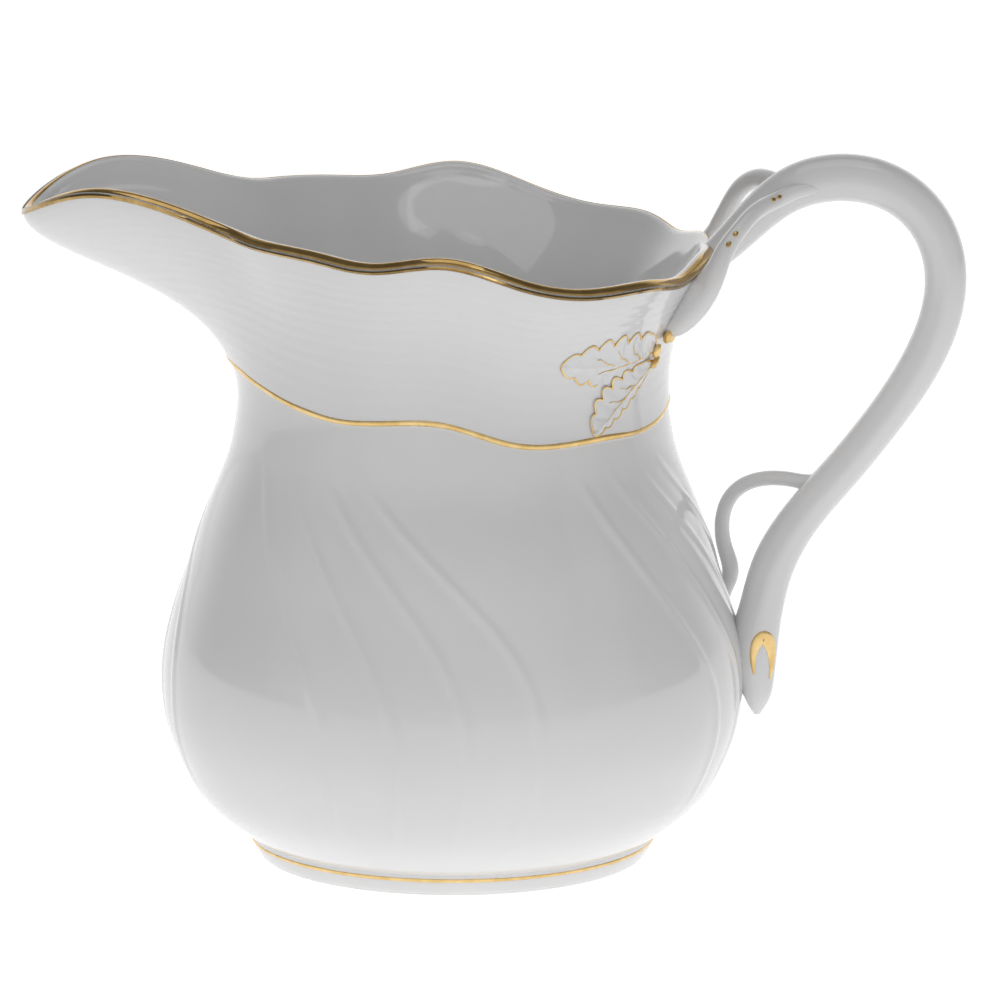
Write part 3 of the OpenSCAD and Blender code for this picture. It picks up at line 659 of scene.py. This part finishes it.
def out_of_bowl(pts):
    """Keeps the buried end of a luted piece inside the thickness of the wall."""
    a = np.degrees(np.arctan2(pts[..., 1], pts[..., 0]))
    r = np.hypot(pts[..., 0], pts[..., 1])
    z = pts[..., 2]
    top = high(a) - LIP_CLEAR
    wall_r = rz(a, np.minimum(z, top)) - BURIED
    fix = (r < wall_r) & (z < top)
    k = np.where(fix, wall_r / np.maximum(r, 1e-6), 1.0)
    out = pts.copy()
    out[..., :2] *= k[..., None]
    return out


def slip_fillet(path, pts):
    """Draws the side of a branch that faces the collar onto it, as the slip between them does."""
    c = settled(path, run_on)
    mid = curve(c, np.linspace(0, len(path) - 1, pts.shape[0]))[:, None, :3]
    o = unit(pts - mid)
    r = np.hypot(pts[..., 0], pts[..., 1])
    inward = -(o[..., 0] * pts[..., 0] + o[..., 1] * pts[..., 1]) / r
    a = np.degrees(np.arctan2(pts[..., 1], pts[..., 0]))
    top = high(a)
    target = rz(a, np.minimum(pts[..., 2], top - 0.3)) + STEP - FILLET_SINK
    w = step01((inward - 0.1) / 0.6) * step01((top + 1.2 - pts[..., 2]) / 3.5)
    move = np.where(r > target, w * (target - r), 0)
    out = pts.copy()
    out[..., :2] *= (1 + move / r)[..., None]
    return out


def branch_mesh(name, path):
    rings = sweep(path, 220, 40, (1, 0, 0.2), flare=(-0.5, -0.05))
    return face_out(sheet_mesh(name, out_of_bowl(slip_fillet(path, rings)), caps=True))


def stem_groove(g, t):
    """Two shallow flutes along each side of the twig."""
    fade = step01(t / 0.12) * step01((0.93 - t) / 0.2)
    flute = 0
    for at in FLUTES:
        flute = flute + np.exp(-((((g - at) + np.pi) % (2 * np.pi) - np.pi) / FLUTE_HALF) ** 2)
    return 1 - FLUTE_CUT * fade * flute


stem = out_of_bowl(sweep(STEM, 420, 64, (0, 1, 0), stem_groove))
stem = face_out(sheet_mesh("handle_porcelain", stem, caps=True))
kept(stem, glaze, "porcelain", "handle_stem")
kept(branch_mesh("near_branch_porcelain", FRONT), glaze, "porcelain", "front_branch")
kept(branch_mesh("far_branch_porcelain", REAR), glaze, "porcelain", "rear_branch")
tendril = sweep(TENDRIL, 180, 32, (0, 1, 0), flare=(0.5, 0.35))
tendril = face_out(sheet_mesh("tendril_porcelain", tendril, caps=True))
kept(tendril, glaze, "porcelain", "tendril")

# ---------------------------------------------------------------- leaves
# on a leaf, u runs from its foot to its tip and v from -1 at the lower edge to 1 at the upper
MIDRIB_H, MIDRIB_HALF = 0.08, 0.35
SIDE_VEIN_D, SIDE_VEIN_HALF = 0.05, 0.16
EDGE_DROP, EDGE_SHARE = 0.1, 0.07  # how far a leaf's edge rounds down, and over what share of v
LINE_H, LINE_SINK, LINE_INSET = 0.07, 0.03, 0.1  # painted lines on the leaves
# painted side veins: where each leaves the midrib, how far along it goes, how far out
UPPER_VEINS = ((0.2, 0.16, 0.55), (0.34, 0.18, 0.5), (0.5, 0.2, 0.36))
LOWER_VEINS = ((0.3, 0.2, 0.5), (0.5, 0.18, 0.42))


def leaf_w(f, u, v):
    """Half width of a leaf, on the side of the midrib that v is on."""
    u, v = np.broadcast_arrays(np.asarray(u, float), np.asarray(v, float))
    low = v < 0
    half = np.where(low, f.below, f.above)
    peak = np.where(low, f.peak_below, f.peak_above)
    body_w = np.sin(np.pi * np.clip(u, 0, 1) ** peak) ** 0.6
    # rounded lobes that lean towards the tip, with sharp notches between them
    across = np.mod(LOBES * u, 1)
    lobe = 1 - LOBE_CUT * step01((u - 0.1) / 0.25) * (1 - np.sin(np.pi * across ** 1.35) ** 0.8)
    return half * (0.08 + 0.92 * np.maximum(body_w, 0) * lobe)


def leaf_spot(side, f, u, v):
    """Azimuth and s of a point of a leaf laid on the collar."""
    x = f.length * u
    y = leaf_w(f, u, v) * v + f.bow * np.sin(np.pi * u)
    c, s = math.cos(math.radians(f.slope)), math.sin(math.radians(f.slope))
    a = side * (f.turn + DEG_PER_MM * (x * c - y * s))
    return a, seek(a, f.z + (x * s + y * c))


def leaf_top(f, u, v):
    return STEP + f.lift + LEAF_H * (0.45 + 0.55 * (1 - np.abs(v)) ** 0.8) * (1 - 0.35 * u)


def leaf_pt(side, f, u, v, off):
    return skin_pt(*leaf_spot(side, f, u, v), off)


def leaf_pad(name, side, f):
    u = np.linspace(0, 1, 281)[:, None]
    v = np.concatenate([[-1.0, -0.995, -0.97], np.linspace(-0.93, 0.93, 29), [0.97, 0.995, 1.0]])
    v = v[None, :]
    edge_round = np.clip((1 - np.abs(v)) / EDGE_SHARE, 0, 1)
    top = leaf_top(f, u, v)
    top = top - EDGE_DROP * (1 - np.sqrt(np.clip(1 - (1 - edge_round) ** 2, 0, 1)))
    midrib = np.exp(-((v * leaf_w(f, u, v) / MIDRIB_HALF) ** 2)) * MIDRIB_H
    rows = np.mod(u * LOBES - 0.9 * np.abs(v), 1) - 0.5
    side_vein = SIDE_VEIN_D * np.exp(-((rows / SIDE_VEIN_HALF) ** 2))
    side_vein = side_vein * step01((0.9 - np.abs(v)) / 0.3)
    top = top - side_vein + midrib
    upper = leaf_pt(side, f, u + 0 * v, v + 0 * u, top)
    lower = leaf_pt(side, f, u + 0 * v, v + 0 * u, STEP - 0.06 + 0 * top)[:, ::-8]
    return face_out(sheet_mesh(name, np.concatenate([upper, lower], 1), caps=True))


def ribbon(name, run, up, width, height):
    """A thin painted line along points lying on a surface, with the surface's normals."""
    run, up = np.asarray(run), unit(np.asarray(up))
    d = unit(np.gradient(run, axis=0))
    b = unit(np.cross(up, d))
    w = np.asarray(width)[:, None] / 2
    rows = [run - b * w - up * LINE_SINK, run - b * w * 0.92 + up * height * 0.6,
            run - b * w * 0.5 + up * height, run + b * w * 0.5 + up * height,
            run + b * w * 0.92 + up * height * 0.6, run + b * w - up * LINE_SINK]
    return face_out(sheet_mesh(name, np.stack(rows, 1), caps=True))


def surface_up(side, f, u, v):
    return normal_s(*leaf_spot(side, f, u, v))


def outline(name, side, f, start):
    """The painted line round the edge of a leaf, from the lower edge round the tip to the foot."""
    u = np.concatenate([np.linspace(start, 1, 260), np.linspace(1, 0, 300)[1:]])
    v = np.concatenate([np.full(260, -1.0), np.full(299, 1.0)])
    t = np.maximum(leaf_w(f, u, v) - LINE_INSET, 0.03) / leaf_w(f, u, v)
    run = leaf_pt(side, f, u, v * t, leaf_top(f, u, v * t) - 0.02)
    keep = np.concatenate([[True], np.linalg.norm(np.diff(run, axis=0), axis=1) > 0.02])
    run = run[keep]
    up = surface_up(side, f, u[keep], (v * t)[keep])
    at = np.arange(len(run))
    w = VEIN_W * (1 + 0.22 * np.sin(at * 0.13) * np.sin(at * 0.051))
    return ribbon(name, run, up, w, LINE_H)


def vein(name, side, f, u, v, width):
    run = leaf_pt(side, f, u, v, leaf_top(f, u, v) + 0.02)
    w = width * np.sqrt(np.clip(1.02 - np.linspace(0, 1, len(u)) ** 2, 0.04, 1))
    return ribbon(name, run, surface_up(side, f, u, v), w, 0.06)


def leaf_lines(side):
    t = np.linspace(0, 1, 40)
    parts = [outline("a", side, LEAF_UPPER, 0.62), outline("b", side, LEAF_LOWER, 0.0)]
    parts.append(vein("c", side, LEAF_UPPER, 0.03 + 0.62 * t, -0.04 - 0.28 * t**2, 0.24))
    parts.append(vein("d", side, LEAF_LOWER, 0.05 + 0.78 * t, 0.05 * np.sin(np.pi * t), 0.22))
    for leaf, veins, width in ((LEAF_UPPER, UPPER_VEINS, 0.16), (LEAF_LOWER, LOWER_VEINS, 0.14)):
        for u0, du, v1 in veins:
            parts.append(vein("e", side, leaf, u0 + du * t, v1 * t, width))
    return parts


for side, tag, node in ((-1, "near", "front"), (1, "far", "rear")):
    kept(leaf_pad(tag + "_leaf_upper", side, LEAF_UPPER), glaze, "porcelain", node + "_leaf_upper")
    kept(leaf_pad(tag + "_leaf_lower", side, LEAF_LOWER), glaze, "porcelain", node + "_leaf_lower")
    kept(joined(tag + "_leaf_gold", leaf_lines(side)), line_gold, "gilding", node + "_leaf_gilding")

# ---------------------------------------------------------------- buds, dots and tail lines
BUD_OFF, BUD_CREASE = 0.66, 0.12  # how far a bud's middle stands off the collar, its crease
BUD_WIDE, BUD_DEEP, BUD_LONG = 0.6, 0.45, 0.52  # half sizes, as shares of thickness and length
DOT_SIZE, DOT_SINK = (0.3, 0.16, 0.44), 0.02
DOT_X, DOT_Y, DOT_Z = 0.1, 0.85, 0.4  # the way the dots face, mirrored for the far side
TAIL_FROM, TAIL_TO = 12.0, 18.0  # stations of STEM that the horseshoe lies between
# section of the horseshoe's line: share of its half width, height off the stem
TAIL_SHAPE = ((-1, -0.04), (-0.94, 0.03), (-0.6, 0.08), (0, 0.1), (0.6, 0.08), (0.94, 0.03),
              (1, -0.04))


def pebble(name, centre, axes, dims, n=24, crease=0.0):
    """An oval bead with its own axes; crease presses a shallow line along it."""
    x, y, z = axes
    th = np.linspace(0.001, np.pi - 0.001, n)[:, None]
    ph = (np.arange(2 * n) * np.pi / n)[None, :]
    r = np.sin(th) ** 0.9
    k = 1 - crease * np.exp(-((ph - np.pi / 2) / 0.35) ** 2) * np.sin(th)
    pts = (np.asarray(centre) + (r * np.cos(ph) * k * dims[0])[..., None] * x
           + (r * np.sin(ph) * k * dims[1])[..., None] * y
           + (np.cos(th) * dims[2] + 0 * ph)[..., None] * z)
    return face_out(sheet_mesh(name, pts, caps=True))


def bud_set(side):
    parts = []
    for deg, z, lean, length, thick in BUDS:
        a = np.array(side * deg, float)
        s = seek(a, np.array(z, float))
        n = normal_s(a, s)
        east = unit(np.cross([0, 0, 1.0], n))
        north = np.cross(n, east)
        t = math.radians(side * lean)
        up = north * math.cos(t) - east * math.sin(t)
        centre = collar_pt(a, s) + n * (STEP + BUD_OFF)
        dims = (thick * BUD_WIDE, thick * BUD_DEEP, length * BUD_LONG)
        parts.append(pebble("bud", centre, (np.cross(up, n), n, up), dims, crease=BUD_CREASE))
    return parts


def dot_set(path, side):
    c = settled(path, run_on)
    parts = []
    for at in DOT_AT:
        u = at + DOT_SHIFT[side]
        p = curve(c, np.array(u))
        d = unit(curve(c, np.array(u + 0.05))[:3] - curve(c, np.array(u - 0.05))[:3])
        n = unit(np.array([DOT_X, side * DOT_Y, DOT_Z]))
        n = unit(n - d * (n @ d))
        centre = p[:3] + n * (p[3] / 2 - DOT_SINK)
        parts.append(pebble("dot", centre, (np.cross(n, d), n, d), DOT_SIZE, n=16))
    return parts


def stem_station(z):
    """The handle's section at height z on its tail, by halving."""
    c = settled(STEM, run_on)
    lo, hi = TAIL_FROM, TAIL_TO
    for _ in range(30):
        m = (lo + hi) / 2
        if curve(c, np.array(m))[2] > z:
            lo = m
        else:
            hi = m
    return curve(c, np.array((lo + hi) / 2))


def on_stem(side, x, z, off):
    p = stem_station(z)
    k = (x - p[0]) * 2 / p[3]
    return [x, side * (p[4] / 2 * math.sqrt(max(1 - k * k, 0.02)) + off), z]


def tail_line(side):
    p = curve(settled(SHOE, run_on), np.linspace(0, len(SHOE) - 1, 120))
    d = np.gradient(p[:, :2], axis=0)
    d /= np.linalg.norm(d, axis=1)[:, None]
    rows = []
    for (x, z, half), (dx, dz) in zip(p, d):
        nx, nz = -dz * half, dx * half
        rows.append([on_stem(side, x + nx * q, z + nz * q, off) for q, off in TAIL_SHAPE])
    return np.array(rows)


for side, tag, node, path in ((-1, "near", "front", FRONT), (1, "far", "rear", REAR)):
    kept(joined(tag + "_buds", bud_set(side)), line_gold, "gilding", node + "_buds")
    dots = joined(tag + "_branch_dots", dot_set(path, side))
    # The dots' gold carries the darkened base colour, painted shade for their dark reflections.
    kept(dots, shade_darkened_gold, "gilding", "branch_dots_" + node)
    tail = face_out(sheet_mesh(tag + "_tail_gold", tail_line(side), caps=True))
    kept(tail, line_gold, "gilding", "tail_gilding_" + node)

# ---------------------------------------------------------------- studio, in m
# brightness of the surroundings: behind the jug, in front of it, between them, and overhead
ROOM, FRONT_LEVEL, SIDE_LEVEL, DARKEN = 1.1, 0.62, 0.22, 0.35
FLOOR_GLOW, FLOOR_FRONT = 0.83, 0.26  # of the table behind and under the jug, and in front
GLOW_FROM, GLOW_TO = -0.9, -0.06  # the y over which the one grows into the other
GLOW_NEAR, GLOW_FAR, GLOW_SIDE = 0.12, 1.0, 0.7  # and how it falls off to both sides
FLOOR_HALF = 1500  # in mm


def floor_material():
    """A pale translucent table, lit from below behind and under the jug and dimmer in front."""
    m, nt, bsdf, pos = fresh("pale_floor")
    tone = noise(nt, pos, scale=3.0)
    c = ramp(nt, tone, [(0.3, (0.36, 0.36, 0.36)), (0.7, (0.38, 0.38, 0.38))])
    nt.links.new(c, bsdf.inputs["Base Color"])
    bsdf.inputs["Roughness"].default_value = 0.6
    bsdf.inputs["Specular IOR Level"].default_value = 0.2
    part = nt.nodes.new("ShaderNodeSeparateXYZ")
    nt.links.new(pos, part.inputs[0])
    from_side = nt.nodes.new("ShaderNodeMath")
    from_side.operation = "ABSOLUTE"
    nt.links.new(part.outputs[0], from_side.inputs[0])
    glow = nt.nodes.new("ShaderNodeMath")
    glow.operation = "MULTIPLY"
    along = spread(nt, part.outputs[1], GLOW_FROM, GLOW_TO, FLOOR_FRONT, FLOOR_GLOW)
    aside = spread(nt, from_side.outputs[0], GLOW_NEAR, GLOW_FAR, 1.0, GLOW_SIDE)
    nt.links.new(along, glow.inputs[0])
    nt.links.new(aside, glow.inputs[1])
    nt.links.new(glow.outputs[0], bsdf.inputs["Emission Strength"])
    bsdf.inputs["Emission Color"].default_value = (1, 1, 1, 1)
    return m


corners = [[x * FLOOR_HALF, y * FLOOR_HALF, 0] for x, y in ((-1, -1), (1, -1), (1, 1), (-1, 1))]
floor = mesh_object("floor", corners, [[0, 1, 2, 3]], False)
floor.data.materials.append(floor_material())

world = bpy.data.worlds.new("studio")
bpy.context.scene.world = world
world.use_nodes = True
sky = world.node_tree
sky.nodes.clear()
out = sky.nodes.new("ShaderNodeOutputWorld")
bg = sky.nodes.new("ShaderNodeBackground")
sky.links.new(bg.outputs[0], out.inputs[0])
towards = sky.nodes.new("ShaderNodeTexCoord")
split = sky.nodes.new("ShaderNodeSeparateXYZ")
sky.links.new(towards.outputs["Generated"], split.inputs[0])


def world_range(source, lo, hi, out_lo, out_hi):
    r = sky.nodes.new("ShaderNodeMapRange")
    r.interpolation_type = "SMOOTHSTEP"
    for i, v in zip((1, 2, 3, 4), (lo, hi, out_lo, out_hi)):
        r.inputs[i].default_value = v
    sky.links.new(source, r.inputs[0])
    return r.outputs[0]


def world_math(kind, p, q):
    m = sky.nodes.new("ShaderNodeMath")
    m.operation = kind
    for i, v in enumerate((p, q)):
        if isinstance(v, float):
            m.inputs[i].default_value = v
        else:
            sky.links.new(v, m.inputs[i])
    return m.outputs[0]


along_y, upward = split.outputs[1], split.outputs[2]
in_front = world_range(along_y, -0.85, -0.25, FRONT_LEVEL, SIDE_LEVEL)
behind = world_range(along_y, 0.35, 0.9, 0.0, ROOM - SIDE_LEVEL)
level = world_math("ADD", in_front, behind)
shade = world_range(upward, 0.36, 0.72, 0.0, 1.0)
shade = world_math("SUBTRACT", 1.0, world_math("MULTIPLY", shade, DARKEN))
sky.links.new(world_math("MULTIPLY", level, shade), bg.inputs["Strength"])
bg.inputs["Color"].default_value = (1, 1, 1, 1)


def softbox(name, loc, aim, size, power):
    light = bpy.data.lights.new(name, "AREA")
    light.shape = "RECTANGLE"
    light.size, light.size_y = size
    light.energy = power
    o = bpy.data.objects.new(name, light)
    o.location = loc
    o.rotation_mode = "QUATERNION"
    o.rotation_quaternion = (Vector(aim) - Vector(loc)).to_track_quat("-Z", "Y")
    bpy.context.scene.collection.objects.link(o)


softbox("left_box", loc=(-0.8, -0.35, 0.35), aim=(0, 0, 0.04), size=(0.35, 0.6), power=0.12)
softbox("right_box", loc=(0.8, -0.3, 0.3), aim=(0, 0, 0.04), size=(0.3, 0.6), power=0.12)
softbox("top_strip", loc=(0.3, -0.34, 0.78), aim=(0, 0, 0.06), size=(0.4, 0.07), power=0.09)
softbox("top_box", loc=(0.0, -0.12, 0.9), aim=(0, 0, 0.04), size=(0.7, 0.7), power=1.3)

# ---------------------------------------------------------------- camera
CAM_TURN, CAM_RISE = math.radians(1.1), math.radians(11.9)  # to the right of the front, above it
CAM_FAR, CAM_AIM_Z = 1.227, 0.042
back = Vector((math.sin(CAM_TURN) * math.cos(CAM_RISE),
               -math.cos(CAM_TURN) * math.cos(CAM_RISE), math.sin(CAM_RISE)))
cam = bpy.data.objects.new("camera", bpy.data.cameras.new("camera"))
bpy.context.scene.collection.objects.link(cam)
cam.data.sensor_width = 36
cam.data.lens = 348.3
cam.data.shift_x, cam.data.shift_y = 0.0471, 0.0275
cam.data.clip_start, cam.data.clip_end = 0.05, 20
cam.location = Vector((0, 0, CAM_AIM_Z)) + back * CAM_FAR
cam.rotation_mode = "QUATERNION"
cam.rotation_quaternion = (-back).to_track_quat("-Z", "Y")
bpy.context.scene.camera = cam
bpy.context.scene.view_settings.view_transform = "Standard"
